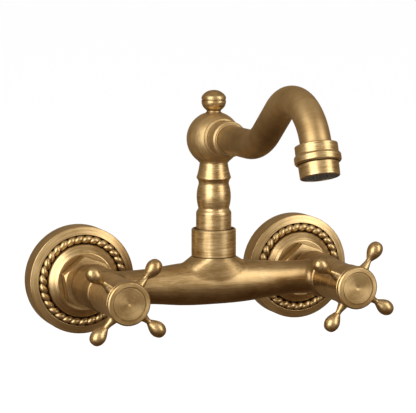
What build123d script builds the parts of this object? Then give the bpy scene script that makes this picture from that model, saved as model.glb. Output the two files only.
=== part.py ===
from build123d import *
import os
from math import cos, pi, radians, sin, sqrt

# Wall-mounted two-handle mixer faucet with a swivelling swan-neck spout, in millimetres.
#
# Row frame: the origin is on the wall plane, midway between the two valves and level with
# them. +Z is up, +X is to the right for someone facing the wall, and -Y points out of the
# wall towards the user. "Out" in the names below is a distance from the wall, along -Y.

# ---------------------------------------------------------------- driving dimensions
INLET_SPACING = 150.0      # standard spacing of wall mixer inlets
UNION_OFFSET = 5.0         # how far the wall thread of an eccentric union sits below its nut
G_HALF_R = 10.48           # major radius of a G1/2 thread
G_THREE_QUARTER_R = 13.2   # major radius of a G3/4 thread
WALL_THREAD_LENGTH = 15.0  # length of the G1/2 thread that enters the wall

ESCUTCHEON_R = 34.5        # outer radius of a wall rosette
ESCUTCHEON_EDGE_OUT = 12.7 # outer corner of the rosette's bevelled rim
ESCUTCHEON_RIM_OUT = 14.4  # inner edge of that rim, at the rope groove
ROPE_R = 26.5              # radius of the rope ring's centre line
ROPE_OUT = 13.7
ROPE_THICK_R = 2.6
ROPE_GAP = 0.1             # gap between the rope and the walls of its groove
DOME_OUT = 19.4            # flat middle of the rosette's dome
NUT_ACROSS_FLATS = 30.0
NUT_FRONT_OUT = 27.3       # edge of the nut's front
NUT_LIP_OUT = 28.0         # front of the nut at its bore
NUT_TURN = 40.0            # angle of one corner of a tightened nut, from +X
UNION_FRONT_OUT = 22.5

HOUSING_R = 13.8           # valve barrel of the body casting
HOUSING_MOUTH_R = 13.1
HOUSING_FRONT_OUT = 64.0
BAR_OUT = 50.1             # distance of the horizontal bar, and of the column, from the wall
BAR_MIDDLE_R = 13.8
BAR_END_R = 10.6
BOSS_R = 13.9              # boss under the spout's collar
BOSS_FOOT_LENGTH = 41.0    # half length of the boss's elliptical foot along the bar
BOSS_FOOT_DEPTH = 13.6     # half depth of that foot, square to the wall
SLEEVE_R = 12.6            # bonnet sleeve between the valve barrel and the handle
SLEEVE_FRONT_OUT = 88.6
HUB_R = 13.4               # front flange of a handle hub, and the index cap
DRUM_R = 12.95             # drum of a handle hub behind the flange
HUB_BACK_OUT = 89.0
HUB_FRONT_OUT = 101.2
LEVER_OUT = 97.6           # plane of the four levers of a cross handle
LEVER_TIP_R = 32.1
KNOB_FOOT_R = 19.7         # where a lever's knob starts, from the handle's axis
KNOB_R = 4.8               # thickest radius of the pear-shaped knob
HANDLE_TILT = {"left": 3.4, "right": 11.8}   # how far a closed cross is off the diagonal

COLLAR_R = 14.05           # swivel collar under the spout column
COLLAR_BOTTOM = 17.0
COLLAR_TOP = 34.5
COLLAR_THREAD_R = 12.9     # thread between the collar and the boss
BOSS_TOP = 25.0            # top of the boss inside the collar
SPIGOT_R = 9.0             # the column's foot that turns in the boss
COLUMN_R = 11.13
COLUMN_TOP = 76.5
BALL_R = 17.05
BALL_Z = 91.2
FINIAL_BASE = 107.5
FINIAL_TOP = 121.7
ARM_Z = 93.0               # height at which the swan neck leaves the ball
ARM_R = 8.85
ARM_BORE_R = 6.9
ARM_SOCKET_OUT = 16.0      # the arm's hidden end, from the column's axis
ARM_RUN_OUT = 57.0         # end of the arm's first straight run, from the column's axis
ARM_RISE_RADIUS = 44.5
ARM_RISE_ANGLE = 37.8
ARM_SLOPE_LENGTH = 23.35
ARM_CROWN_RADIUS = 32.9
ARM_END_LENGTH = 2.0       # straight end of the arm, before and inside the ferrule
OUTLET_TILT = 18.9         # the outlet's axis leans out by this angle from straight down
OUTLET_LENGTH = 18.6       # from the ferrule's top to the mouth
ARM_IN_FERRULE = 2.3       # length of the arm's end held inside the ferrule

RUNNING_GAP = 0.05         # radial clearance of a shaft or spigot that turns in a bore
SEAM = 0.3                 # gap between pieces that face each other across a joint

SIDES = {"left": -INLET_SPACING / 2, "right": INLET_SPACING / 2}


# ---------------------------------------------------------------- shared shapes
def turned(*corners):
    """Solid turned about +Z. Each half-section corner is (radius, height[, rounding])."""
    points = [corner[:2] for corner in corners]
    rounding = [corner[2] if len(corner) > 2 else 0 for corner in corners]
    if any(rounding):
        outline = FilletPolyline(*points, radius=rounding, close=True)
    else:
        outline = Polyline(*points, close=True)
    return revolve(Plane.XZ * make_face(outline), Axis.Z)


def turned_curves(*curves):
    """Solid turned about +Z from the curves that close its half section."""
    return revolve(Plane.XZ * make_face(Curve() + list(curves)), Axis.Z)


def ring(inner_r, outer_r, low, high):
    """Plain ring about +Z between two heights."""
    return turned((inner_r, low), (outer_r, low), (outer_r, high), (inner_r, high))


def rod(radius, low, high):
    """Plain cylinder about +Z between two heights."""
    return Pos(0, 0, low) * extrude(Circle(radius), high - low)


def o_ring(centre_r, section_r, height):
    """Rubber O-ring about +Z."""
    return Pos(0, 0, height) * Torus(centre_r, section_r)


def split_gap(solid, width, reach):
    """Opens a closed ring on its +X side, as on a circlip."""
    return solid - Pos(reach / 2, 0, 0) * Box(reach, width, 4 * reach)


def wedge(reach, half_angle):
    """Flat triangle from the axis towards +X, used to cut sectors out of discs."""
    half_width = reach * sin(radians(half_angle))
    length = reach * cos(radians(half_angle))
    return make_face(Polyline((0, 0), (length, -half_width), (length, half_width), close=True))


def on_valve(side):
    """Placement of a valve's own frame: its +Z points out of the wall."""
    return Pos(SIDES[side], 0, 0) * Rot(90, 0, 0)


ON_COLUMN = Pos(0, -BAR_OUT, 0)   # the column's own frame keeps heights as they are


# ---------------------------------------------------------------- wall connection
def escutcheon():
    """Round wall rosette: cylindrical side, bevelled rim, rope groove and domed middle."""
    groove_floor = ROPE_OUT - ROPE_THICK_R
    groove_outer = ROPE_R + ROPE_THICK_R + ROPE_GAP
    groove_inner = ROPE_R - ROPE_THICK_R - ROPE_GAP
    hub_r = G_THREE_QUARTER_R + RUNNING_GAP
    plate_back = 9.0
    side_wall = 2.0
    return turned(
        (ESCUTCHEON_R, 0),
        (ESCUTCHEON_R, ESCUTCHEON_EDGE_OUT, 0.5),
        (groove_outer, ESCUTCHEON_RIM_OUT, 0.3),
        (groove_outer, groove_floor, 2.0),
        (groove_inner, groove_floor, 2.0),
        (groove_inner, 14.2, 0.4),
        (groove_inner - 0.8, 15.6, 1.2),
        (20.4, 17.7, 0.2),
        (20.0, 18.1, 0.2),
        (18.2, DOME_OUT, 1.2),
        (hub_r, DOME_OUT),
        (hub_r, plate_back),
        (ESCUTCHEON_R - side_wall - 0.6, plate_back, 1.0),
        (ESCUTCHEON_R - side_wall, 0),
    )


def rope_ring():
    """Decorative rope that lies in the rosette's groove."""
    return o_ring(ROPE_R, ROPE_THICK_R, ROPE_OUT + 0.02)


def eccentric_union():
    """S-union: G1/2 thread into the wall, offset body, G3/4 thread for the union nut."""
    body_end = 5.0
    body_r = 16.0
    chamfer = 1.0
    wall_axis = Pos(0, -UNION_OFFSET, 0)
    wall_thread = turned(
        (0, -WALL_THREAD_LENGTH),
        (G_HALF_R - chamfer, -WALL_THREAD_LENGTH),
        (G_HALF_R, chamfer - WALL_THREAD_LENGTH),
        (G_HALF_R, 0),
        (0, 0),
    )
    middle = Pos(0, -UNION_OFFSET / 2, 0) * rod(body_r, 0, body_end)
    front_thread = turned(
        (0, body_end),
        (G_THREE_QUARTER_R, body_end),
        (G_THREE_QUARTER_R, UNION_FRONT_OUT - chamfer),
        (G_THREE_QUARTER_R - chamfer, UNION_FRONT_OUT),
        (0, UNION_FRONT_OUT),
    )
    wall_bore = wall_axis * rod(6.5, -WALL_THREAD_LENGTH, 8.0)
    front_bore = rod(9.0, 4.0, UNION_FRONT_OUT)
    return wall_axis * wall_thread + middle + front_thread - (wall_bore + front_bore)


def union_nut():
    """Hexagon union nut, slightly coned in front, whose lip pulls the body's collar in."""
    back = DOME_OUT + SEAM
    bore_r = G_THREE_QUARTER_R + RUNNING_GAP
    neck_r = 10.75
    corner_r = NUT_ACROSS_FLATS / sqrt(3)
    hexagon = RegularPolygon(NUT_ACROSS_FLATS / 2, 6, major_radius=False, rotation=NUT_TURN)
    block = Pos(0, 0, back) * extrude(hexagon, NUT_LIP_OUT - back)
    coned_front = turned(
        (0, back),
        (corner_r + 0.1, back),
        (corner_r + 0.1, NUT_FRONT_OUT - 1.1),
        (15.6, NUT_FRONT_OUT),
        (neck_r, NUT_LIP_OUT),
        (0, NUT_LIP_OUT),
    )
    bore = rod(bore_r, back, COLLAR_FLANGE_OUT + RUNNING_GAP) + rod(neck_r, back, NUT_LIP_OUT)
    return (block & coned_front) - bore


def union_washer():
    """Flat rubber washer between the union and the body's collar."""
    return ring(9.2, 12.4, UNION_FRONT_OUT + RUNNING_GAP, 23.95)


# ---------------------------------------------------------------- body casting
COLLAR_FLANGE_OUT = 25.0   # front face of the flange that the union nut pulls on
CHAMBER_END = 41.0         # start of the valve chamber, from the wall


def valve_barrel():
    """Outside of one valve housing, with the flange that the union nut holds."""
    flange_r = 12.6
    neck_r = 10.5
    return turned(
        (0, 24.0),
        (flange_r, 24.0),
        (flange_r, COLLAR_FLANGE_OUT),
        (neck_r, COLLAR_FLANGE_OUT),
        (neck_r, 28.4, 2.5),
        (HOUSING_R, 34.5, 6.0),
        (HOUSING_R, 54.5, 12.0),
        (HOUSING_MOUTH_R, HOUSING_FRONT_OUT - 0.9, 0.5),
        (HOUSING_MOUTH_R - 0.9, HOUSING_FRONT_OUT, 0.4),
        (0, HOUSING_FRONT_OUT),
    )


def valve_chamber():
    """Waterway, cartridge bore and cartridge thread inside one valve housing."""
    inlet = rod(7.0, 22.0, CHAMBER_END)
    chamber = rod(9.2, CHAMBER_END - 1, 57.0)
    thread = rod(G_HALF_R + 0.02, 56.0, HOUSING_FRONT_OUT + 1)
    return inlet + chamber + thread


def horizontal_bar():
    """Bar that joins the two valve housings, thickest in the middle, turned about X."""
    half = INLET_SPACING / 2
    taper = Spline(
        (BAR_END_R, -62.0),
        (11.5, -39.0),
        (13.1, -24.0),
        (BAR_MIDDLE_R, 0),
        (13.1, 24.0),
        (11.5, 39.0),
        (BAR_END_R, 62.0),
        tangents=((0, 1), (0, 1)),
    )
    ends = Polyline(
        (BAR_END_R, 62.0), (BAR_END_R, half), (0, half), (0, -half), (BAR_END_R, -half), (BAR_END_R, -62.0)
    )
    return ON_COLUMN * Rot(0, 90, 0) * turned_curves(taper, ends)


def spout_boss():
    """Boss for the spout: round at the top, drawn out along the bar towards its foot."""
    top = Pos(0, 0, COLLAR_BOTTOM) * Ellipse(BOSS_R, BOSS_R)
    foot = Ellipse(BOSS_FOOT_LENGTH, BOSS_FOOT_DEPTH)
    return ON_COLUMN * loft([top, foot], ruled=True)


def body_casting():
    """Brass body: two valve housings, the bar between them and the boss for the spout."""
    housing_blend = 4.5
    boss_blend = 9.0
    bar = horizontal_bar()
    housings = [on_valve(side) * valve_barrel() for side in SIDES]
    barrels = bar + housings
    barrels = fillet(new_edges(bar, *housings, combined=barrels), housing_blend)
    boss = spout_boss()
    outside = barrels + boss
    outside = fillet(new_edges(barrels, boss, combined=outside), boss_blend)
    collar_thread = ON_COLUMN * rod(COLLAR_THREAD_R, COLLAR_BOTTOM - 1, BOSS_TOP)
    waterway = ON_COLUMN * (rod(SPIGOT_R + RUNNING_GAP, 7.0, BOSS_TOP + 1) + rod(6.5, 0, 8.0))
    waterway += ON_COLUMN * Rot(0, 90, 0) * rod(5.5, -INLET_SPACING / 2, INLET_SPACING / 2)
    for side in SIDES:
        waterway += on_valve(side) * valve_chamber()
    return outside + collar_thread - waterway


# ---------------------------------------------------------------- cartridge, fixed pieces
SHAFT_R = 5.0              # the spindle's journal in the cartridge
DISC_R = 7.5               # ceramic discs
DISC_FACE_OUT = 46.0       # sealing face between the two ceramic discs
CARTRIDGE_TOP = 84.0


def cartridge_body():
    """Brass quarter-turn cartridge body: skirt with outlet windows, thread, hexagon, boss."""
    shell = turned(
        (DISC_R + 0.1, 41.6),
        (9.0, 41.6),
        (9.0, 56.0),
        (G_HALF_R - 0.03, 56.0),
        (G_HALF_R - 0.03, 62.6),
        (9.25, 62.6),
        (9.25, 64.0),
        (11.2, 64.0),
        (11.2, 66.0),
        (8.0, 66.0),
        (8.0, CARTRIDGE_TOP),
        (SHAFT_R + RUNNING_GAP, CARTRIDGE_TOP),
        (SHAFT_R + RUNNING_GAP, 57.0),
        (DISC_R + 0.1, 57.0),
    )
    hexagon = Pos(0, 0, 66.0) * extrude(RegularPolygon(9.5, 6, major_radius=False) - Circle(7.9), 6.0)
    windows = Pos(0, 0, 52.6) * Box(30, 8.0, 4.4)
    return shell + hexagon - windows


def cartridge_seat_seal():
    """Rubber seal that presses the fixed ceramic disc against the housing's seat."""
    return turned((5.0, 40.0), (8.8, 40.0), (8.8, 41.5), (7.4, 41.5), (7.4, 42.8), (5.0, 42.8))


def cartridge_o_ring():
    """O-ring under the cartridge's flange."""
    return o_ring(9.87, 0.6, 63.3)


def disc_ports():
    """The two sector-shaped ports of the fixed disc, as a flat shape."""
    port_ring = Circle(5.8) - Circle(2.2)
    return (port_ring & wedge(12, 38)) + (port_ring & Rot(0, 0, 180) * wedge(12, 38))


def fixed_ceramic_disc():
    """Lower ceramic disc with two ports."""
    return Pos(0, 0, DISC_FACE_OUT - 3.1) * extrude(Circle(DISC_R) - disc_ports(), 3.1)


def bonnet_sleeve():
    """Cover tube over the cartridge, screwed onto the cartridge's boss by its inner lip."""
    inner_r = 11.5
    return turned(
        (inner_r, HOUSING_FRONT_OUT + 0.1),
        (SLEEVE_R - 0.2, HOUSING_FRONT_OUT + 0.1),
        (SLEEVE_R, HOUSING_FRONT_OUT + 0.5),
        (SLEEVE_R - 0.2, SLEEVE_FRONT_OUT - 0.3),
        (SLEEVE_R - 0.5, SLEEVE_FRONT_OUT),
        (inner_r, SLEEVE_FRONT_OUT),
        (inner_r, 82.5),
        (8.05, 82.5),
        (8.05, 80.0),
        (inner_r, 80.0),
    )


# ---------------------------------------------------------------- handle, turning pieces
SPLINE_R = 4.0
SPLINE_TEETH = 20
SPINDLE_END = 99.0
SCREW_SEAT_OUT = SPINDLE_END + SEAM


def moving_ceramic_disc():
    """Bow-tie disc that covers the ports when the handle is closed."""
    lobes = Circle(DISC_R - 0.1) & (wedge(12, 48) + Rot(0, 0, 180) * wedge(12, 48))
    return Pos(0, 0, DISC_FACE_OUT + 0.1) * extrude(lobes + Circle(3.4), 3.0)


def spindle():
    """Brass stem: driver flange, journal with O-ring grooves, circlip groove and spline."""
    driver = DISC_FACE_OUT + 3.1
    journal = turned(
        (0, driver),
        (DISC_R - 0.15, driver),
        (DISC_R - 0.15, driver + 2.8),
        (SHAFT_R, driver + 2.8),
        (SHAFT_R, 62.0),
        (3.85, 62.0),
        (3.85, 63.6),
        (SHAFT_R, 63.6),
        (SHAFT_R, 67.0),
        (3.85, 67.0),
        (3.85, 68.6),
        (SHAFT_R, 68.6),
        (SHAFT_R, 84.3),
        (4.2, 84.3),
        (4.2, 85.3),
        (SHAFT_R, 85.3),
        (SHAFT_R, 86.5),
        (0, 86.5),
    )
    outline = []
    for tooth in range(SPLINE_TEETH):
        for half_step, radius in ((0, SPLINE_R), (1, SPLINE_R - 0.45)):
            angle = (tooth + half_step / 2) * 2 * pi / SPLINE_TEETH
            outline.append((radius * cos(angle), radius * sin(angle)))
    spline = Pos(0, 0, 86.5) * extrude(make_face(Polyline(*outline, close=True)), SPINDLE_END - 86.5)
    return journal + spline - rod(1.62, 89.5, SPINDLE_END)


def spindle_o_rings():
    """Two O-rings in the spindle's grooves."""
    section_r = 0.54
    centre_r = SHAFT_R - section_r - 0.01
    return [o_ring(centre_r, section_r, height) for height in (62.8, 67.8)]


def circlip():
    """Snap ring that holds the spindle in the cartridge."""
    return split_gap(ring(4.25, 6.6, 84.35, 85.25), 2.4, 30)


def lever():
    """One handle lever turned about +Z: trumpet-shaped root, thin neck and pear-shaped knob."""
    root = Polyline((0, 9.0), (3.4, 9.0), (3.4, 13.0))
    neck = Spline(
        (3.4, 13.0), (2.6, 15.2), (1.95, 17.6), (1.8, KNOB_FOOT_R), tangents=((-0.6, 1), (0, 1))
    )
    step = Line((1.8, KNOB_FOOT_R), (2.1, KNOB_FOOT_R))
    knob = Spline(
        (2.1, KNOB_FOOT_R), (3.5, 22.3), (KNOB_R, 26.6), (3.55, 30.5), (0, LEVER_TIP_R),
        tangents=((0.5, 1), (-1, 0)),
    )
    axis_line = Line(knob @ 1, (0, 9.0))
    return turned_curves(root, neck, step, knob, axis_line)


def handle_cross(tilt):
    """Four-lever cross handle: flanged hub, splined socket, recesses front and back."""
    cross = turned(
        (0, HUB_BACK_OUT),
        (DRUM_R - 0.6, HUB_BACK_OUT),
        (DRUM_R, HUB_BACK_OUT + 0.5),
        (DRUM_R, HUB_FRONT_OUT - 3.1),
        (HUB_R, HUB_FRONT_OUT - 2.6),
        (HUB_R, HUB_FRONT_OUT - 0.3),
        (HUB_R - 0.3, HUB_FRONT_OUT),
        (0, HUB_FRONT_OUT),
    )
    for quarter in range(4):
        angle = 45 + tilt + 90 * quarter
        cross = cross + Pos(0, 0, LEVER_OUT) * Rot(0, 0, angle) * Rot(0, 90, 0) * lever()
    back_recess = rod(8.5, HUB_BACK_OUT, 90.5)
    socket = rod(SPLINE_R + 0.02, 90.0, 100.0)
    front_recess = rod(8.2, SCREW_SEAT_OUT, HUB_FRONT_OUT)
    return cross - (back_recess + socket + front_recess)


def handle_screw():
    """Socket-head screw with a broad flange, which fixes the handle to the spindle."""
    head = rod(3.3, SCREW_SEAT_OUT, SCREW_SEAT_OUT + 2.2)
    flange = rod(5.5, SCREW_SEAT_OUT, SCREW_SEAT_OUT + 0.5)
    shank = rod(1.6, 90.0, SCREW_SEAT_OUT)
    key_width = 2.5
    key_hexagon = RegularPolygon(key_width / 2, 6, major_radius=False)
    key_socket = Pos(0, 0, SCREW_SEAT_OUT + 0.9) * extrude(key_hexagon, 1.5)
    return head + flange + shank - key_socket


def index_cap():
    """Front cap of a handle: rounded rim, ring groove, slightly dished middle, hollow spigot."""
    back = HUB_FRONT_OUT + SEAM
    front = 104.6
    spigot_back = 99.9
    return turned(
        (0, back),
        (6.4, back),
        (6.4, spigot_back),
        (8.15, spigot_back),
        (8.15, back),
        (HUB_R - 0.3, back),
        (HUB_R, back + 0.3),
        (HUB_R, front - 0.9, 0.3),
        (HUB_R - 0.8, front - 0.1, 0.3),
        (10.5, front),
        (10.2, front - 0.5),
        (9.9, front - 0.5),
        (9.6, front - 0.15, 0.15),
        (0, front - 0.45),
    )


# ---------------------------------------------------------------- spout, on the column's axis
RING_GROOVE_LOW = 28.0     # groove of the split ring that the collar retains
RING_GROOVE_HIGH = 30.0
COLUMN_BORE_R = 6.0
FOOT_R = 8.0               # the column's top end inside the ball
FOOT_TOP = 81.5
STUD_R = 3.0               # the finial's stud


def collar_nut():
    """Cylindrical collar screwed onto the boss; its inner shoulder holds the column down."""
    bore_r = COLLAR_THREAD_R + RUNNING_GAP
    throat_r = 11.6
    return turned(
        (bore_r, COLLAR_BOTTOM),
        (COLLAR_R - 0.5, COLLAR_BOTTOM),
        (COLLAR_R, COLLAR_BOTTOM + 0.6),
        (COLLAR_R, COLLAR_TOP - 0.7, 0.3),
        (COLLAR_R - 0.5, COLLAR_TOP),
        (COLLAR_R - 1.2, COLLAR_TOP),
        (throat_r, COLLAR_TOP - 1.4),
        (throat_r, RING_GROOVE_HIGH + SEAM),
        (bore_r, RING_GROOVE_HIGH + SEAM),
    )


def spout_column():
    """Turned column: foot with seal grooves, plain shaft, two waists, belly and ridge."""
    foot = Polyline(
        (COLUMN_BORE_R, 7.4), (SPIGOT_R, 7.4),
        (SPIGOT_R, 11.0), (7.5, 11.0), (7.5, 13.0), (SPIGOT_R, 13.0),
        (SPIGOT_R, 17.0), (7.5, 17.0), (7.5, 19.0), (SPIGOT_R, 19.0),
        (SPIGOT_R, BOSS_TOP + SEAM), (COLUMN_R, BOSS_TOP + SEAM),
        (COLUMN_R, RING_GROOVE_LOW), (9.8, RING_GROOVE_LOW),
        (9.8, RING_GROOVE_HIGH), (COLUMN_R, RING_GROOVE_HIGH),
        (COLUMN_R, 43.9),
    )
    shoulder = Spline((COLUMN_R, 43.9), (10.9, 45.2), (9.75, 47.3), tangents=((0.1, 1), (-0.3, 1)))
    step = Line((9.75, 47.3), (9.75, 47.8))
    belly = ThreePointArc((9.75, 47.8), (10.78, 54.6), (9.5, 62.6))
    rise = ThreePointArc((9.5, 62.6), (9.85, 64.9), (10.85, 66.5))
    ridge = Line((10.85, 66.5), (10.85, 66.9))
    fall = ThreePointArc((10.85, 66.9), (9.75, 70.8), (8.9, COLUMN_TOP - 1))
    top = Polyline(
        (8.9, COLUMN_TOP - 1), (8.9, COLUMN_TOP), (FOOT_R, COLUMN_TOP), (FOOT_R, FOOT_TOP),
        (COLUMN_BORE_R, FOOT_TOP), (COLUMN_BORE_R, 7.4),
    )
    return turned_curves(foot, shoulder, step, belly, rise, ridge, fall, top)


def column_o_rings():
    """Two O-rings that seal the column's foot in the boss."""
    section_r = 0.75
    return [o_ring(SPIGOT_R + 0.02 - section_r, section_r, height) for height in (12.0, 18.0)]


def split_ring():
    """Open spring ring in the column's groove, under the collar's shoulder."""
    return split_gap(ring(9.85, 12.6, RING_GROOVE_LOW + 0.1, RING_GROOVE_HIGH - 0.1), 3.0, 60)


def spout_ball():
    """Hollow ball on the column, with a ringed socket for the swan neck."""
    sphere = Pos(0, 0, BALL_Z) * Sphere(BALL_R)
    sphere -= rod(BALL_R, COLUMN_TOP - 5, COLUMN_TOP) + rod(FOOT_R, FINIAL_BASE, BALL_Z + BALL_R + 1)
    lip = turned(
        (0, COLUMN_TOP), (9.3, COLUMN_TOP), (9.9, COLUMN_TOP + 0.6, 0.3), (9.9, COLUMN_TOP + 1.4, 0.3),
        (9.5, COLUMN_TOP + 2.2), (9.5, 82.0), (0, 82.0),
    )
    socket_end = 29.0
    socket = turned(
        (0, 8.0),
        (11.1, 8.0),
        (11.1, 13.1, 0.1),
        (12.0, 13.5, 0.45),
        (12.0, 14.8, 0.45),
        (10.8, 15.4, 0.15),
        (10.55, 16.6, 0.5),
        (10.55, 24.6, 0.2),
        (11.2, 25.1, 0.6),
        (11.2, 27.1, 0.6),
        (10.1, 27.8, 0.1),
        (9.9, socket_end, 0.4),
        (0, socket_end),
    )
    along_arm = Pos(0, 0, ARM_Z) * Rot(90, 0, 0)
    cavity = Pos(0, 0, BALL_Z) * Sphere(10.0) + rod(FOOT_R + RUNNING_GAP, COLUMN_TOP - 1, FOOT_TOP)
    arm_hole = rod(ARM_BORE_R, 0, ARM_SOCKET_OUT) + rod(ARM_R + 0.03, ARM_SOCKET_OUT, socket_end + 1)
    stud_hole = rod(STUD_R + 0.02, 98.0, 110.0)
    return sphere + lip + along_arm * socket - cavity - along_arm * arm_hole - stud_hole


def finial():
    """Small egg-shaped finial with a girdle groove and a threaded stud."""
    stud = Polyline((0, 99.0), (STUD_R, 99.0), (STUD_R, FINIAL_BASE), (4.9, FINIAL_BASE), (4.95, 107.8))
    neck = ThreePointArc((4.95, 107.8), (4.4, 108.5), (4.8, 109.2))
    lower = Spline((4.8, 109.2), (6.5, 110.9), (7.7, 114.2), tangents=((1, 1), (0.1, 1)))
    girdle = Polyline(
        (7.7, 114.2), (7.68, 115.3), (7.25, 115.55), (7.25, 115.8), (7.68, 116.05), (7.72, 116.7)
    )
    crown = Spline((7.72, 116.7), (6.6, 118.9), (0, FINIAL_TOP), tangents=((-0.1, 1), (-1, 0)))
    axis_line = Line((0, FINIAL_TOP), (0, 99.0))
    return turned_curves(stud, neck, lower, girdle, crown, axis_line)


# ---------------------------------------------------------------- swan neck and outlet
# The swan neck lies in the plane X = 0. In this plane's own frame, x is the distance out of
# the wall and y is the height.
SIDE_PLANE = Plane(origin=(0, 0, 0), x_dir=(0, -1, 0), z_dir=(-1, 0, 0))


def arm_centre_line():
    """Straight run, rising arc, straight slope, the arc over the crown and a straight end."""
    run = Line((BAR_OUT + ARM_SOCKET_OUT, ARM_Z), (BAR_OUT + ARM_RUN_OUT, ARM_Z))
    rise = JernArc(start=run @ 1, tangent=run % 1, radius=ARM_RISE_RADIUS, arc_size=ARM_RISE_ANGLE)
    slope = Line(rise @ 1, (rise @ 1) + (rise % 1) * ARM_SLOPE_LENGTH)
    crown_angle = ARM_RISE_ANGLE + 90 - OUTLET_TILT
    crown = JernArc(start=slope @ 1, tangent=slope % 1, radius=ARM_CROWN_RADIUS, arc_size=-crown_angle)
    end = Line(crown @ 1, (crown @ 1) + (crown % 1) * ARM_END_LENGTH)
    return SIDE_PLANE * (Curve() + [run, rise, slope, crown, end])


def spout_arm():
    """Swan-neck tube."""
    line = arm_centre_line()
    start = Plane(origin=line @ 0, z_dir=line % 0)
    outside = sweep(start * Circle(ARM_R), path=line)
    bore = sweep(start * Circle(ARM_BORE_R), path=line)
    return outside - bore


def on_outlet():
    """Placement of the outlet's frame: +Z runs down its axis from the ferrule's top."""
    line = arm_centre_line()
    direction = line % 1
    origin = (line @ 1) - direction * ARM_IN_FERRULE
    return Plane(origin=origin, x_dir=(1, 0, 0), z_dir=direction).location


FERRULE_THREAD_R = 10.2    # thread between the ferrule and the aerator housing
HOUSING_TOP = 5.55         # the aerator housing's end inside the ferrule
INSERT_BORE_R = 9.0
MOUTH_BORE_R = 10.5
MOUTH_STEP = 16.9          # where the mouth's wider bore starts


def spout_ferrule():
    """Ferrule brazed to the arm's end: plain band, then a rounded bead."""
    arm_hole_r = ARM_R + 0.2
    arm_stop = ARM_IN_FERRULE + RUNNING_GAP
    return turned(
        (arm_hole_r, 0),
        (12.1, 0, 0.6),
        (12.1, 5.6, 0.3),
        (12.7, 5.7, 0.3),
        (13.2, 6.6, 0.9),
        (13.2, 9.6, 0.9),
        (12.5, 10.6, 0.3),
        (FERRULE_THREAD_R, 10.6),
        (FERRULE_THREAD_R, 4.0),
        (7.0, 4.0),
        (7.0, arm_stop),
        (arm_hole_r, arm_stop),
    )


def aerator_washer():
    """Flat rubber washer above the aerator."""
    return ring(7.4, 10.1, 4.02, HOUSING_TOP - RUNNING_GAP)


def aerator_housing():
    """Screwed aerator shell with a thin lip round its mouth."""
    thread_r = FERRULE_THREAD_R - RUNNING_GAP
    return turned(
        (INSERT_BORE_R, HOUSING_TOP),
        (thread_r, HOUSING_TOP),
        (thread_r, 10.7),
        (11.1, 10.7),
        (11.4, 11.0),
        (11.25, OUTLET_LENGTH - 0.4, 0.3),
        (10.85, OUTLET_LENGTH, 0.2),
        (MOUTH_BORE_R, OUTLET_LENGTH),
        (MOUTH_BORE_R, MOUTH_STEP),
        (INSERT_BORE_R, MOUTH_STEP),
    )


def aerator_insert():
    """Plastic aerator insert: flanged cup with a perforated outlet plate."""
    plate_r = MOUTH_BORE_R - 0.1
    cup_r = INSERT_BORE_R - 0.1
    plate_back = MOUTH_STEP + RUNNING_GAP
    plate_front = OUTLET_LENGTH - 0.35
    floor_back = 14.4
    cup = turned(
        (0, floor_back), (7.6, floor_back), (7.6, 8.0), (cup_r, 8.0),
        (cup_r, plate_back), (plate_r, plate_back), (plate_r, plate_front), (0, plate_front),
    )
    hole = Pos(0, 0, floor_back - 1) * extrude(Circle(0.65), plate_front - floor_back + 2)
    holes = [hole]
    for circle_r, count in ((2.1, 6), (4.2, 12), (6.3, 18)):
        holes += PolarLocations(circle_r, count) * hole
    return cup - holes


# ---------------------------------------------------------------- files
def save(name, shape):
    """Writes one sub-part; a list of solids becomes one node of separate solids."""
    if isinstance(shape, list):
        shape = Compound(children=shape)
    export_step(shape, f"parts/{name}.step")


def save_valve(side):
    """Every piece of one inlet, valve and handle."""
    place = on_valve(side)
    turn = Rot(0, 0, 45 + HANDLE_TILT[side])
    pieces = {
        "escutcheon": escutcheon(),
        "rope_ring": rope_ring(),
        "eccentric_union": eccentric_union(),
        "union_nut": union_nut(),
        "union_washer": union_washer(),
        "cartridge_body": cartridge_body(),
        "cartridge_seat_seal": cartridge_seat_seal(),
        "cartridge_o_ring": cartridge_o_ring(),
        "fixed_ceramic_disc": fixed_ceramic_disc(),
        "bonnet_sleeve": bonnet_sleeve(),
        "moving_ceramic_disc": moving_ceramic_disc(),
        "spindle": turn * spindle(),
        "circlip": circlip(),
        "handle_cross": handle_cross(HANDLE_TILT[side]),
        "handle_screw": handle_screw(),
        "index_cap": index_cap(),
    }
    for name, shape in pieces.items():
        save(f"{side}_{name}", place * shape)
    save(f"{side}_spindle_o_rings", [place * one for one in spindle_o_rings()])


def save_spout():
    """Every piece of the column, ball, swan neck and outlet."""
    save("spout_column", ON_COLUMN * spout_column())
    save("column_o_rings", [ON_COLUMN * one for one in column_o_rings()])
    save("split_ring", ON_COLUMN * split_ring())
    save("spout_ball", ON_COLUMN * spout_ball())
    save("finial", ON_COLUMN * finial())
    save("spout_arm", spout_arm())
    outlet = on_outlet()
    save("spout_ferrule", outlet * spout_ferrule())
    save("aerator_washer", outlet * aerator_washer())
    save("aerator_housing", outlet * aerator_housing())
    save("aerator_insert", outlet * aerator_insert())


os.makedirs("parts", exist_ok=True)
save("body_casting", body_casting())
save("collar_nut", ON_COLUMN * collar_nut())
for valve_side in SIDES:
    save_valve(valve_side)
save_spout()
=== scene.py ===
from math import cos, pi, radians, sin

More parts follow.
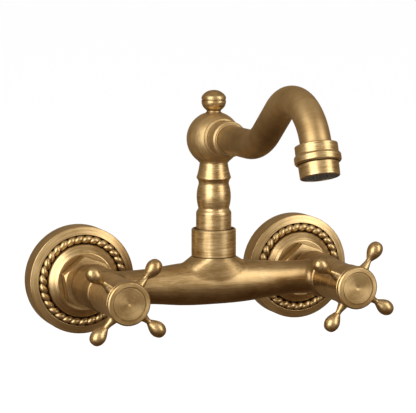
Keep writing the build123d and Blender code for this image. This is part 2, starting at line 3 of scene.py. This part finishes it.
import bpy
import numpy as np
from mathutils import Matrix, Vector

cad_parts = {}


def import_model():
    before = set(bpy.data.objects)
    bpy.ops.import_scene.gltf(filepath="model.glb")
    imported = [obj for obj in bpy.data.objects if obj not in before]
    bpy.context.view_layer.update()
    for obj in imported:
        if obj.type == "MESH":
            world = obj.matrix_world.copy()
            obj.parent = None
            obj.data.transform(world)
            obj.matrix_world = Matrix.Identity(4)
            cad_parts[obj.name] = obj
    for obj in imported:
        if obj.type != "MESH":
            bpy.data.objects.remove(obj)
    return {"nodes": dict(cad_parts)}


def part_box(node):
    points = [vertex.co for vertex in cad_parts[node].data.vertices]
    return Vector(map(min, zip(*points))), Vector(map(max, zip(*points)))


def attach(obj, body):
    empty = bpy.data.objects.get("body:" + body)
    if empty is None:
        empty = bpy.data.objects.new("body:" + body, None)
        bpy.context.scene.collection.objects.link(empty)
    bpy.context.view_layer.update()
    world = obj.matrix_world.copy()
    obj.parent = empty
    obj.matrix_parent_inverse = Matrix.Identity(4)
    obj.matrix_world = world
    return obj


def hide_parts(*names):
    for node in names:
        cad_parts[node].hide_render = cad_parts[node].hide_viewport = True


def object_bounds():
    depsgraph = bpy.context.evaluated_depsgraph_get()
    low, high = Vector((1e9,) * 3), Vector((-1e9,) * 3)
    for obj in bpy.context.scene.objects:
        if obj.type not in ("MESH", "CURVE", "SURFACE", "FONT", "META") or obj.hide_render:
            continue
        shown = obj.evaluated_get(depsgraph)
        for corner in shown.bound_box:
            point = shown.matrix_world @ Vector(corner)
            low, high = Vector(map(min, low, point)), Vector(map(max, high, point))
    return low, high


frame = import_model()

# Looks of the wall mixer faucet. Lengths are metres in the row frame: +Z up, -Y out of the
# wall, origin on the wall midway between the valves.
CAD_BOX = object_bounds()
NODES = frame["nodes"]
SIDES = ("left", "right")
MM = 0.001


def middle(node):
    """Centre of a CAD node's box."""
    low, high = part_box(node)
    return (Vector(low) + Vector(high)) / 2


COLUMN_AXIS = middle("collar_nut")
VALVE_AXIS = {side: middle(f"{side}_index_cap") for side in SIDES}


# ---------------------------------------------------------------- material nodes
class Tree:
    """A node tree with short ways to add and join nodes."""

    def __init__(self, owner):
        owner.use_nodes = True
        self.tree = owner.node_tree
        self.tree.nodes.clear()

    def add(self, kind, inputs=None, **settings):
        node = self.tree.nodes.new("ShaderNode" + kind)
        for name, value in settings.items():
            setattr(node, name, value)
        for name, value in (inputs or {}).items():
            self.put(node.inputs[name], value)
        return node

    def put(self, socket, value):
        if isinstance(value, bpy.types.NodeSocket):
            self.tree.links.new(value, socket)
        else:
            socket.default_value = value

    def math(self, operation, *values):
        node = self.add("Math", operation=operation)
        for socket, value in zip(node.inputs, values):
            self.put(socket, value)
        return node.outputs[0]

    def vector(self, x=0.0, y=0.0, z=0.0):
        return self.add("CombineXYZ", {"X": x, "Y": y, "Z": z}).outputs[0]

    def split(self, vector):
        node = self.add("SeparateXYZ", {"Vector": vector})
        return [node.outputs[name] for name in "XYZ"]

    def noise(self, vector, scale, detail=2.0, roughness=0.5, w=0.0):
        inputs = {"Vector": vector, "W": w, "Scale": scale, "Detail": detail, "Roughness": roughness}
        return self.add("TexNoise", inputs, noise_dimensions="4D").outputs["Fac"]

    def ramp(self, value, low, high, out_low=0.0, out_high=1.0):
        inputs = {"Value": value, "From Min": low, "From Max": high}
        inputs.update({"To Min": out_low, "To Max": out_high})
        return self.add("MapRange", inputs, clamp=True).outputs["Result"]

    def product(self, a, b):
        return self.math("MULTIPLY", a, b)

    def mix(self, factor, a, b):
        node = self.add("Mix", data_type="RGBA")
        self.put(node.inputs["Factor"], factor)
        self.put(node.inputs["A"], a)
        self.put(node.inputs["B"], b)
        return node.outputs["Result"]

    def length(self, u, v):
        """Length of the flat vector (u, v)."""
        return self.math("SQRT", self.math("ADD", self.product(u, u), self.product(v, v)))

    def surface(self, shader):
        self.put(self.add("OutputMaterial").inputs["Surface"], shader.outputs[0])


# Linear colours of the antiqued brass, from rubbed high spots down to the dark patina,
# which also serves as painted shade in crevices and between parts.
RUBBED = (0.86, 0.68, 0.42, 1)
BRASS = (0.61, 0.447, 0.226, 1)
AGED = (0.42, 0.280, 0.122, 1)
PATINA_AND_SHADE = (0.15, 0.078, 0.028, 1)
BROAD_BROWN_AND_SHADE = (0.21, 0.115, 0.045, 1)    # thinner brown on broad faces: painted shade under the casting, and the darker low bend of the swan neck

FINE_MARKS = 2600.0        # noise scales of the brushing, per metre
COARSE_MARKS = 950.0
COARSE_SHARE = 0.6         # share of the coarse marks; the fine ones have the rest
CLOUDS = 60.0              # noise scales of the broad ageing and of the small mottling
MOTTLE = 420.0
ROUND_SHARE = 1.2 * MM     # how little the marks change on the way round an axis
NEAR_AXIS = 0.5 * MM       # marks keep one angle closer to their axis than this
LENGTHWISE_SHARE = 0.04    # how little the marks change along the bar
HEIGHT_SHARE = 0.08        # how little the marks change on the way round the swan neck
HOUSING_REACH = 14.2 * MM  # round marks end and lengthwise marks begin between these two
BAR_REACH = 17.0 * MM      # distances from a valve's axis
UNDERSIDE = (7 * MM, -8 * MM)     # heights between which the casting's painted underside shade grows
BAR_ENDS = (40 * MM, 58 * MM)     # distances from its middle between which its darkening towards the ends grows
BEND_DARKENING = (12 * MM, 46 * MM)   # distances from the neck's low bend between which it fades


def dot(tree, vector, direction):
    """Dot product of a vector socket and a fixed direction."""
    node = tree.add("VectorMath", {0: vector, 1: tuple(direction)}, operation="DOT_PRODUCT")
    return node.outputs["Value"]


def blend_marks(tree, spot, radius=0.0):
    """Coarse and fine brush marks that vary fast along the first coordinate of the spot."""
    coarse = tree.noise(spot, COARSE_MARKS, 3.0, 0.6, radius)
    fine = tree.noise(spot, FINE_MARKS, 2.0, 0.5, radius)
    return tree.math("ADD", tree.product(coarse, COARSE_SHARE), tree.product(fine, 1 - COARSE_SHARE))


def round_marks(tree, along, u, v):
    """Marks round an axis, from the place along it and the two coordinates across it."""
    radius = tree.length(u, v)
    around = tree.math("DIVIDE", ROUND_SHARE, tree.math("MAXIMUM", radius, NEAR_AXIS))
    spot = tree.vector(along, tree.product(u, around), tree.product(v, around))
    return blend_marks(tree, spot, radius), radius


def turned_marks(axis_point, axis):
    """Marks that run round an axis, as a lathe or a brushing wheel leaves them."""
    axis = Vector(axis)
    across = Vector((1, 0, 0)) if abs(axis.x) < 0.5 else Vector((0, 0, 1))
    side = (across - axis * across.dot(axis)).normalized()
    other = axis.cross(side)

    def marks(tree, place):
        shift = {0: place, 1: tuple(axis_point)}
        shifted = tree.add("VectorMath", shift, operation="SUBTRACT").outputs[0]
        along, u, v = (dot(tree, shifted, direction) for direction in (axis, side, other))
        return round_marks(tree, along, u, v)[0]

    return marks


def tube_marks(tree, place):
    """Marks round the swan neck, from the length along it that its mesh carries."""
    along = tree.add("Attribute", attribute_name="along").outputs["Fac"]
    height = tree.split(place)[2]
    return blend_marks(tree, tree.vector(along, tree.product(height, HEIGHT_SHARE)))


def cast_marks(tree, place):
    """Marks along the bar, and round the valve axes on the two housings."""
    x, y, z = tree.split(place)
    lengthwise = blend_marks(tree, tree.vector(y, tree.product(x, LENGTHWISE_SHARE), z))
    from_valve = tree.math("SUBTRACT", tree.math("ABSOLUTE", x), VALVE_AXIS["right"].x)
    turned, radius = round_marks(tree, y, from_valve, z)
    on_bar = tree.ramp(radius, HOUSING_REACH, BAR_REACH)
    return tree.add("Mix", {0: on_bar, 2: turned, 3: lengthwise}, data_type="FLOAT").outputs[0]


def underside_shade_and_dark_ends(tree, place):
    """How dark the casting is made: painted shade towards its underside, and darker towards its two ends.
    """
    x, _, z = tree.split(place)
    # painted shade: the lower the face lies, the darker it is made
    underside_shade = tree.ramp(z, *UNDERSIDE, 0.15, 0.78)
    ends = tree.ramp(tree.math("ABSOLUTE", x), *BAR_ENDS, 0.0, 0.4)
    return tree.math("MINIMUM", tree.math("ADD", underside_shade, ends), 0.8)


def neck_bend_darkening(tree, place):
    """How much darker brown the swan neck is made: most on its low bend."""
    low_bend = ARM_RUN + 18 * MM
    along = tree.add("Attribute", attribute_name="along").outputs["Fac"]
    from_bend = tree.math("ABSOLUTE", tree.math("SUBTRACT", along, low_bend))
    return tree.ramp(from_bend, *BEND_DARKENING, 0.62, 0.05)


CREVICE_REACH = 4.5 * MM   # how far a crevice looks for the walls that keep its patina and its painted shade
EDGE_REACH = 1.0 * MM      # how near an edge the brass is rubbed bright
BRUSH_DEPTH = 0.25 * MM    # bump distance of the brush marks


def antique_brass(name, marks, streak=1.0, patina_and_shade=1.0, smooth=0.27, rough=0.39, clean=0.0,
                  reach=CREVICE_REACH, broad_darkening=None, polish=0.0):
    """Brushed, antiqued brass: worn bright on edges, brown patina and painted shade in crevices, fine brush
    marks.

    marks gives the brush marks and streak their strength. patina_and_shade is the strength of the brown
    in crevices, patina in the hollows and painted shade between parts, and broad_darkening gives the
    brown on broad faces: painted shade on the casting's underside and a darker low bend on the swan neck.
    smooth and rough are the limits of the roughness, clean holds the ageing back, and polish is the
    round sheen of a turned face.
    """
    material = bpy.data.materials.new(name)
    tree = Tree(material)
    place = tree.add("TexCoord").outputs["Object"]
    streaks = marks(tree, place)
    clouds = tree.noise(place, CLOUDS, 4.0, 0.55)
    mottle = tree.noise(place, MOTTLE, 3.0, 0.6)

    # Ambient occlusion paints dark brown into crevices: patina in the hollows, and painted shade between
    # parts where the reach is wide.
    crevice = tree.add("AmbientOcclusion", {"Distance": reach}, samples=8).outputs["AO"]
    edge = tree.add("AmbientOcclusion", {"Distance": EDGE_REACH}, samples=6, inside=True).outputs["AO"]
    speckle = tree.product(tree.math("SUBTRACT", mottle, 0.5), 0.22)
    patina_and_shade_mask = tree.ramp(tree.math("ADD", crevice, speckle), 0.25, 0.80, patina_and_shade, 0.0)
    wear = tree.ramp(tree.math("ADD", edge, speckle), 0.62, 0.30)

    body = tree.mix(tree.ramp(clouds, 0.36 + clean, 0.70 + clean), BRASS, AGED)
    body = tree.mix(tree.ramp(streaks, 0.46, 0.62, 0.0, 0.42 * streak), body, RUBBED)
    body = tree.mix(tree.ramp(streaks, 0.52, 0.38, 0.0, 0.50 * streak), body, AGED)
    body = tree.mix(tree.product(wear, 0.6), body, RUBBED)
    # Broad faces darken to a thinner brown: painted shade under the casting, a darker low bend on the neck.
    if broad_darkening:
        darkening = tree.product(broad_darkening(tree, place), tree.ramp(clouds, 0.25, 0.65, 0.45, 1.0))
        body = tree.mix(darkening, body, BROAD_BROWN_AND_SHADE)
    body = tree.mix(patina_and_shade_mask, body, PATINA_AND_SHADE)

    gloss = tree.ramp(streaks, 0.38, 0.62, smooth, rough)
    gloss = tree.math("ADD", gloss, tree.product(patina_and_shade_mask, 0.2))
    height = tree.math("ADD", tree.product(streaks, streak), tree.product(mottle, 0.3))
    bump = tree.add("Bump", {"Strength": 0.22, "Distance": BRUSH_DEPTH, "Height": height}).outputs["Normal"]
    shader = tree.add("BsdfPrincipled", {
        "Base Color": body, "Metallic": 1.0, "Roughness": gloss, "Normal": bump,
    })
    if polish:
        tangent = tree.add("Tangent", direction_type="RADIAL", axis="Y").outputs[0]
        tree.put(shader.inputs["Tangent"], tangent)
        tree.put(shader.inputs["Anisotropic"], polish)
    tree.surface(shader)
    return material


def plain_material(name, light, dark, metallic, rough_low, rough_high, grain=900.0, depth=0.05 * MM):
    """Small hidden or functional pieces: two-tone speckle with varied roughness and bump."""
    material = bpy.data.materials.new(name)
    tree = Tree(material)
    place = tree.add("TexCoord").outputs["Object"]
    speckle = tree.noise(place, grain, 4.0, 0.6)
    clouds = tree.noise(place, grain / 9, 3.0, 0.5)
    colour = tree.mix(tree.ramp(clouds, 0.35, 0.7), light, dark)
    colour = tree.mix(tree.ramp(speckle, 0.55, 0.8, 0.0, 0.4), colour, dark)
    bump = tree.add("Bump", {"Strength": 0.2, "Distance": depth, "Height": speckle}).outputs["Normal"]
    shader = tree.add("BsdfPrincipled", {
        "Base Color": colour, "Metallic": metallic,
        "Roughness": tree.ramp(speckle, 0.3, 0.7, rough_low, rough_high), "Normal": bump,
    })
    tree.surface(shader)
    return material


# ---------------------------------------------------------------- pieces made here
def linked_object(name, data):
    """A new object in the scene."""
    piece = bpy.data.objects.new(name, data)
    bpy.context.scene.collection.objects.link(piece)
    return piece


def mesh_piece(name, points, faces, body, material):
    """A smooth-shaded mesh object that rides on a body."""
    mesh = bpy.data.meshes.new(name)
    mesh.from_pydata([tuple(p) for p in points], [], faces)
    mesh.shade_smooth()
    mesh.materials.append(material)
    piece = linked_object(name, mesh)
    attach(piece, body)
    return piece


def ring_faces(rows, columns, first=0):
    """Quads of a grid of points that closes both ways; its rows follow one another."""
    faces = []
    for i in range(rows):
        for j in range(columns):
            a = i * columns + j
            b = i * columns + (j + 1) % columns
            c = (i + 1) % rows * columns + (j + 1) % columns
            d = (i + 1) % rows * columns + j
            faces.append((first + a, first + b, first + c, first + d))
    return faces


def turned_over(faces):
    """The same faces with their other side out."""
    return [face[::-1] for face in faces]


ROPE_STRANDS = 1           # strands met on one way round the rope's own section
ROPE_LOZENGES = 31         # strand crossings seen round the ring
ROPE_STEPS = 16            # mesh steps along one lozenge
ROPE_SIDES = 48
ROPE_CREASE = 0.995        # share of a strand's half width at which its round side ends
ROPE_GROOVE = 0.58         # groove depth between strands, as a share of the rope's radius


def rope_ring(side, material):
    """Twisted rope of the rosette, which stands for the plain ring of the CAD model."""
    node = f"{side}_rope_ring"
    low, high = (np.array(corner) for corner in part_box(node))
    centre = (low + high) / 2
    rope_r = (high[1] - low[1]) / 2
    ring_r = (high[0] - low[0]) / 2 - rope_r
    steps = ROPE_LOZENGES * ROPE_STEPS
    around = np.arange(steps)[:, None] * 2 * pi / steps
    section = np.arange(ROPE_SIDES)[None, :] * 2 * pi / ROPE_SIDES
    turn = (ROPE_STRANDS * section - ROPE_LOZENGES * around) / (2 * pi)
    from_crest = 2 * np.abs(turn - np.round(turn))
    radius = rope_r * (1 - ROPE_GROOVE * (1 - np.sqrt(1 - np.minimum(from_crest, ROPE_CREASE) ** 2)))
    reach = ring_r + radius * np.cos(section)
    points = np.stack([
        centre[0] + reach * np.cos(around),
        centre[1] - radius * np.sin(section),
        centre[2] + reach * np.sin(around),
    ], axis=-1).reshape(-1, 3)
    faces = turned_over(ring_faces(steps, ROPE_SIDES))
    piece = mesh_piece(f"{side}_twisted_rope", points, faces, "body", material)
    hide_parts(node)


# Sizes of the eccentric unions, as in the CAD model.
WALL_THREAD = 15.0 * MM    # length of the G1/2 thread
THREAD_R = 10.48 * MM
THREAD_PITCH = 1.814 * MM
THREAD_DEPTH = 1.16 * MM
THREAD_STEP = 0.15 * MM
THREAD_SIDES = 72
UNION_CHAMFER = 1.0 * MM
SHARP_EDGE = radians(35)   # edges bent more than this are shaded sharp
UNION_DROP = 5.0 * MM      # how far the wall thread's axis lies below the valve's
UNION_MIDDLE = 5.0 * MM    # thickness of the offset middle
WALL_BORE_R = 6.5 * MM
FRONT_BORE_R = 9.0 * MM
FRONT_THREAD_R = 13.2 * MM
OVERLAP = 0.3 * MM         # how far one length of the union reaches into the next


def union_length(side, drop, profile):
    """Points round one length of a union, from (out, radius) rows; a radius may vary round it."""
    around = np.arange(THREAD_SIDES) * 2 * pi / THREAD_SIDES
    rows = []
    for out, radius in profile:
        x = VALVE_AXIS[side].x + radius * np.cos(around)
        z = radius * np.sin(around) - drop
        rows.append(np.stack([x, np.full(THREAD_SIDES, -out), z], axis=-1))
    return np.concatenate(rows)


def threaded_union(side, material):
    """Eccentric union with a real helical thread at its wall end."""
    low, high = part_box(f"{side}_eccentric_union")
    front = -low[1]
    middle_r = (high[0] - low[0]) / 2
    turn = np.arange(THREAD_SIDES) / THREAD_SIDES
    thread = []
    for out in np.arange(-WALL_THREAD, OVERLAP, THREAD_STEP):
        phase = np.mod(out / THREAD_PITCH - turn, 1.0)
        groove = THREAD_DEPTH * np.clip(1.25 * np.abs(2 * phase - 1) - 0.1, 0, 1)
        chamfered_r = THREAD_R - UNION_CHAMFER + (out + WALL_THREAD)
        thread.append((out, np.minimum(THREAD_R - groove, chamfered_r)))
    thread += [(OVERLAP, WALL_BORE_R), (-WALL_THREAD, WALL_BORE_R)]
    middle_rim = [(0, middle_r - OVERLAP), (OVERLAP, middle_r), (UNION_MIDDLE, middle_r)]
    middle_bore = [(UNION_MIDDLE, WALL_BORE_R), (0, WALL_BORE_R)]
    front_end = [
        (UNION_MIDDLE - OVERLAP, FRONT_THREAD_R), (front - UNION_CHAMFER, FRONT_THREAD_R),
        (front, FRONT_THREAD_R - UNION_CHAMFER), (front, FRONT_BORE_R),
        (UNION_MIDDLE - OVERLAP, FRONT_BORE_R),
    ]
    wall_length = union_length(side, UNION_DROP, thread)
    middle_length = np.concatenate([
        union_length(side, UNION_DROP / 2, middle_rim), union_length(side, UNION_DROP, middle_bore),
    ])
    front_length = union_length(side, 0, front_end)
    points = []
    faces = []
    for ring in (wall_length, middle_length, front_length):
        faces += ring_faces(len(ring) // THREAD_SIDES, THREAD_SIDES, first=len(points))
        points += list(ring)
    piece = mesh_piece(f"{side}_threaded_union", points, faces, "body", material)
    piece.data.set_sharp_from_angle(angle=SHARP_EDGE)
    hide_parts(f"{side}_eccentric_union")


# The swan neck's centre line, as in the CAD model.
ARM_RUN = 41.0 * MM        # first straight run, from the hidden end
ARM_RISE_RADIUS = 44.5 * MM
ARM_RISE_ANGLE = radians(37.8)
ARM_SLOPE = 23.35 * MM
ARM_CROWN_RADIUS = 32.9 * MM
ARM_END = 2.0 * MM
OUTLET_TILT = radians(18.9)
ARM_WALL = 1.95 * MM
ARM_STEP = 0.6 * MM
ARM_SIDES = 72


def arm_centre_line():
    """Points (out, up), headings and lengths along the swan neck's centre line."""
    low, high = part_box("spout_arm")
    tube_r = (high[0] - low[0]) / 2
    pieces = (
        (ARM_RUN, 0.0),
        (ARM_RISE_RADIUS * ARM_RISE_ANGLE, 1 / ARM_RISE_RADIUS),
        (ARM_SLOPE, 0.0),
        (ARM_CROWN_RADIUS * (ARM_RISE_ANGLE + pi / 2 - OUTLET_TILT), -1 / ARM_CROWN_RADIUS),
        (ARM_END, 0.0),
    )
    point = np.array([-high[1], low[2] + tube_r])
    heading = 0.0
    travelled = 0.0
    rows = [(point, heading, travelled)]
    for length, bend in pieces:
        steps = max(1, round(length / ARM_STEP))
        step = length / steps
        for _ in range(steps):
            middle_heading = heading + bend * step / 2
            chord = step if bend == 0 else 2 / bend * sin(bend * step / 2)
            point = point + chord * np.array([cos(middle_heading), sin(middle_heading)])
            heading += bend * step
            travelled += step
            rows.append((point, heading, travelled))
    return rows, tube_r


def swan_neck(material):
    """Swan-neck tube that carries the length along it, for brush marks that run round it."""
    rows, tube_r = arm_centre_line()
    outside = [row + (tube_r,) for row in rows]
    inside = [row + (tube_r - ARM_WALL,) for row in reversed(rows)]
    points = []
    lengths = []
    for point, heading, travelled, radius in outside + inside:
        for k in range(ARM_SIDES):
            angle = 2 * pi * k / ARM_SIDES
            lift = radius * cos(angle)
            out = point[0] - lift * sin(heading)
            up = point[1] + lift * cos(heading)
            points.append((radius * sin(angle), -out, up))
            lengths.append(travelled)
    faces = turned_over(ring_faces(2 * len(rows), ARM_SIDES))
    piece = mesh_piece("swan_neck", points, faces, "spout", material)
    attribute = piece.data.attributes.new("along", "FLOAT", "POINT")
    attribute.data.foreach_set("value", lengths)
    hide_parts("spout_arm")


# ---------------------------------------------------------------- materials on the pieces
OUT = (0, -1, 0)
UP = (0, 0, 1)
DOWN_SPOUT = (0, -sin(OUTLET_TILT), -cos(OUTLET_TILT))
TURNED_PIECES = ("escutcheon", "bonnet_sleeve", "handle_cross")
CUT_BRASS_PIECES = ("cartridge_body", "spindle")
RUBBER_PIECES = ("union_washer", "cartridge_seat_seal", "cartridge_o_ring", "spindle_o_rings")


def wear_on(pieces, material):
    """Puts one material on each named CAD node, in place of those it has."""
    for piece in pieces:
        mesh = NODES[piece].data
        mesh.materials.clear()
        mesh.materials.append(material)


def dress_valve(side, raw, rubber, ceramic, steel):
    """Materials and added pieces of one inlet, valve and handle."""
    def named(pieces):
        return [f"{side}_{piece}" for piece in pieces]

    about_valve = turned_marks(VALVE_AXIS[side], OUT)
    turned = antique_brass(f"{side}_turned_brass", about_valve)
    wear_on(named(TURNED_PIECES), turned)
    # The nut's wide reach paints shade over its faces beside the housing and the sleeve.
    nut = antique_brass(f"{side}_nut_brass", about_valve, patina_and_shade=1.25, reach=10.0 * MM)
    wear_on(named(["union_nut"]), nut)
    cap = antique_brass(
        f"{side}_cap_brass", about_valve, streak=0.55, smooth=0.30, rough=0.40, polish=0.75
    )
    wear_on(named(["index_cap"]), cap)
    wear_on(named(CUT_BRASS_PIECES), raw)
    threaded_union(side, raw)
    wear_on(named(RUBBER_PIECES), rubber)
    wear_on(named(["fixed_ceramic_disc", "moving_ceramic_disc"]), ceramic)
    wear_on(named(["circlip", "handle_screw"]), steel)
    rope = antique_brass(
        f"{side}_rope_brass", about_valve, streak=0.3, clean=0.12, patina_and_shade=0.85, reach=3.6 * MM
    )
    rope_ring(side, rope)


def dress():
    """Gives every piece its material, and adds the pieces that stand for a CAD node."""
    raw = plain_material(
        "machined_brass", (0.78, 0.60, 0.30, 1), (0.55, 0.38, 0.16, 1), 1.0, 0.22, 0.38, 1500.0
    )
    rubber = plain_material(
        "nitrile_rubber", (0.022, 0.022, 0.023, 1), (0.010, 0.010, 0.011, 1), 0.0, 0.55, 0.8
    )
    ceramic = plain_material(
        "alumina", (0.86, 0.85, 0.80, 1), (0.74, 0.72, 0.66, 1), 0.0, 0.12, 0.25, 1200.0, 0.01 * MM
    )
    steel = plain_material(
        "spring_steel", (0.62, 0.62, 0.63, 1), (0.40, 0.40, 0.42, 1), 1.0, 0.2, 0.36, 1500.0
    )
    plastic = plain_material(
        "aerator_plastic", (0.035, 0.034, 0.033, 1), (0.015, 0.015, 0.015, 1), 0.0, 0.35, 0.6
    )
    for side in SIDES:
        dress_valve(side, raw, rubber, ceramic, steel)
    column = antique_brass(
        "column_brass", turned_marks(COLUMN_AXIS, UP), streak=1.2, patina_and_shade=1.2, reach=6.0 * MM
    )
    wear_on(["collar_nut", "spout_column", "finial"], column)
    arm_low, arm_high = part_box("spout_arm")
    arm_r = (arm_high[0] - arm_low[0]) / 2
    arm_axis = Vector((0, 0, arm_low[2] + arm_r))
    ball = antique_brass(
        "ball_brass", turned_marks(arm_axis, OUT),
        streak=0.7, smooth=0.42, rough=0.54, patina_and_shade=1.3, reach=3.0 * MM,
    )
    wear_on(["spout_ball"], ball)
    # The casting's wide reach paints shade where the bar meets the column's boss and the housings.
    cast = antique_brass(
        "cast_brass", cast_marks,
        # its underside is darkened as painted shade
        streak=0.9, smooth=0.30, rough=0.42, reach=9.0 * MM, broad_darkening=underside_shade_and_dark_ends,
    )
    wear_on(["body_casting"], cast)
    neck = antique_brass(
        "neck_brass", tube_marks, streak=0.3, smooth=0.40, rough=0.50, broad_darkening=neck_bend_darkening
    )
    swan_neck(neck)
    outlet = antique_brass("outlet_brass", turned_marks(middle("aerator_insert"), DOWN_SPOUT))
    wear_on(["spout_ferrule", "aerator_housing"], outlet)
    wear_on(["column_o_rings", "aerator_washer"], rubber)
    wear_on(["split_ring"], steel)
    wear_on(["aerator_insert"], plastic)


# ---------------------------------------------------------------- stage, light and camera
CAMERA_AZIMUTH = radians(-21.40)
CAMERA_ELEVATION = radians(7.53)
CAMERA_DISTANCE = 1.248
CAMERA_TARGET = Vector((0.0001, -0.0400, 0.0470))
CAMERA_LENS = 170.3
FLOOR_DROP = 0.30          # the floor lies this far below the faucet
FLOOR_SIZE = 60.0
SOFTBOX_DISTANCE = 1.6
SOFTBOX_COLOUR = (1.0, 0.99, 0.96)


def away(azimuth, elevation):
    """Unit vector from the object towards a viewer at that azimuth and elevation."""
    return Vector((sin(azimuth) * cos(elevation), -cos(azimuth) * cos(elevation), sin(elevation)))


def aimed(name, data, azimuth, elevation, distance):
    """An object that looks at the faucet from that direction."""
    piece = linked_object(name, data)
    back = away(azimuth, elevation)
    piece.location = CAMERA_TARGET + back * distance
    piece.rotation_euler = back.to_track_quat("Z", "Y").to_euler()
    return piece


def camera():
    """Camera at the photo's viewing angle."""
    data = bpy.data.cameras.new("camera")
    data.lens = CAMERA_LENS
    data.sensor_width = 36.0
    data.clip_end = 200.0
    piece = aimed("camera", data, CAMERA_AZIMUTH, CAMERA_ELEVATION, CAMERA_DISTANCE)
    bpy.context.scene.camera = piece


def softbox(name, azimuth, elevation, width, height, power):
    """Rectangular studio light aimed at the faucet; its azimuth counts from the camera's."""
    data = bpy.data.lights.new(name, "AREA")
    data.shape = "RECTANGLE"
    data.size = width
    data.size_y = height
    data.energy = power
    data.color = SOFTBOX_COLOUR
    true_azimuth = CAMERA_AZIMUTH + radians(azimuth)
    piece = aimed(name, data, true_azimuth, radians(elevation), SOFTBOX_DISTANCE)
    piece.visible_camera = False


def floor():
    """Plain pale floor."""
    mesh = bpy.data.meshes.new("floor")
    half = FLOOR_SIZE / 2
    z = CAD_BOX[0][2] - FLOOR_DROP
    corners = [(-half, -half, z), (half, -half, z), (half, half, z), (-half, half, z)]
    mesh.from_pydata(corners, [], [(0, 1, 2, 3)])
    piece = linked_object("floor", mesh)
    material = bpy.data.materials.new("pale_floor")
    tree = Tree(material)
    tree.surface(tree.add("BsdfDiffuse", {"Color": (0.99, 0.99, 0.99, 1)}))
    mesh.materials.append(material)
    piece.visible_glossy = False


def world():
    """White surroundings for the floor; a dim warm studio for what the metal reflects."""
    surroundings = bpy.data.worlds.new("studio")
    bpy.context.scene.world = surroundings
    tree = Tree(surroundings)
    direction = tree.add("TexCoord").outputs["Generated"]
    height = tree.split(direction)[2]
    facing = dot(tree, direction, away(CAMERA_AZIMUTH, radians(25)))
    below = (0.12, 0.070, 0.034, 1)
    level = (0.27, 0.195, 0.115, 1)
    above = (0.30, 0.225, 0.145, 1)
    bright = (0.90, 0.81, 0.66, 1)
    low_part = tree.mix(tree.ramp(height, -0.75, -0.05), below, level)
    room = tree.mix(tree.ramp(height, 0.2, 0.9), low_part, above)
    ahead = tree.ramp(facing, -0.2, 0.95, 0.0, 0.50)
    ahead = tree.product(ahead, tree.ramp(height, -0.6, 0.2, 0.30, 1.0))
    room = tree.mix(ahead, room, bright)
    reflected = tree.add("Background", {"Color": room, "Strength": 1.0}).outputs[0]
    white = tree.add("Background", {"Color": (1, 1, 1, 1), "Strength": 1.0}).outputs[0]
    glossy = tree.add("LightPath").outputs["Is Glossy Ray"]
    both = tree.add("MixShader", {0: glossy, 1: white, 2: reflected}).outputs[0]
    output = tree.add("OutputWorld")
    tree.put(output.inputs["Surface"], both)


def stage():
    """Floor, lights, world and camera."""
    floor()
    world()
    softbox("left_softbox", -33, 19, width=1.15, height=1.85, power=21)
    softbox("right_softbox", 59, 22, width=0.75, height=1.65, power=10.5)
    camera()
    bpy.context.scene.view_settings.view_transform = "Standard"


dress()
stage()
